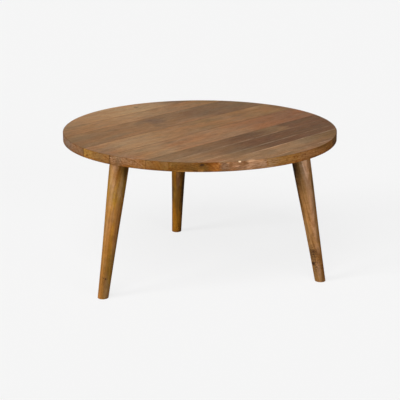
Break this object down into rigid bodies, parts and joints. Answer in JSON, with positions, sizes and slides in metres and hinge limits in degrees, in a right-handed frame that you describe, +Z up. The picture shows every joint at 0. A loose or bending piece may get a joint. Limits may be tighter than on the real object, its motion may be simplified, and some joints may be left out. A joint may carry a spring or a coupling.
{
  "type": "round coffee table",
  "caption": "Low round wooden table with an edge-glued top of striped hardwood staves on splayed, turned and tapered legs.",
  "frame": {"origin": "floor level, below the centre of the round top", "axes": "+Z up through the centre of the top; +X along the grain of the staves; +Y across the grain, with the rear leg between +X and +Y"},
  "size_m": [0.8, 0.8, 0.435],
  "materials": {
    "stave_light": "clear satin lacquer over light brown wood",
    "stave_golden": "clear satin lacquer over golden brown wood",
    "stave_red": "clear satin lacquer over reddish brown wood",
    "stave_dark": "clear satin lacquer over dark grey-brown wood",
    "leg_wood": "clear satin lacquer over turned wood",
    "bracket_steel": "zinc-plated strap",
    "fastener_steel": "zinc-plated"
  },
  "bodies": {
    "root": {"top_stave_01": "stave_light", "top_stave_02": "stave_light", "top_stave_03": "stave_dark", "top_stave_04": "stave_golden", "top_stave_05": "stave_red", "top_stave_06": "stave_dark", "top_stave_07": "stave_dark", "top_stave_08": "stave_golden", "top_stave_09": "stave_light", "top_stave_10": "stave_light", "leg_rear": "leg_wood", "leg_front_left": "leg_wood", "leg_front_right": "leg_wood", "leg_bracket_rear": "bracket_steel", "leg_bracket_front_left": "bracket_steel", "leg_bracket_front_right": "bracket_steel", "bracket_nuts": "fastener_steel", "hanger_bolts": "fastener_steel", "bracket_screws": "fastener_steel"}
  },
  "joints": []
}
